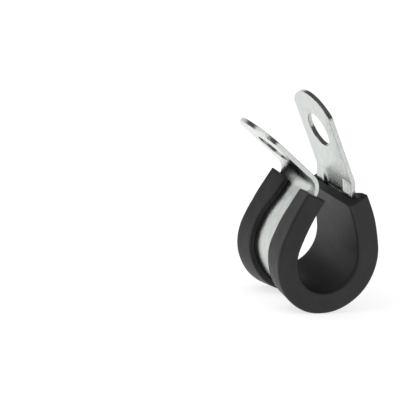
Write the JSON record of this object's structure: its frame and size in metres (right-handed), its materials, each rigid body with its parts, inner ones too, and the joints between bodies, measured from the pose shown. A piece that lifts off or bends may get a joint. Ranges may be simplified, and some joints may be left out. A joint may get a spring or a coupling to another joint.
{
  "type": "rubber-lined p clip",
  "caption": "Sheet-metal P clip with a rubber-lined loop, one folded and one straight bolt tab, shown sprung open before clamping.",
  "frame": {"origin": "centre of the bore inside the liner, at mid width", "axes": "+Y along the bore, +Z from the bore toward the gap between the jaws, +X toward the straight tab's jaw"},
  "size_m": [0.0316, 0.019, 0.0462],
  "materials": {
    "zinc_plated_steel": "bright zinc plate with fine lengthwise rolling marks",
    "black_rubber": "moulded rubber, matt with a soft sheen"
  },
  "bodies": {
    "root": {"band": "zinc_plated_steel", "liner": "black_rubber"}
  },
  "joints": []
}
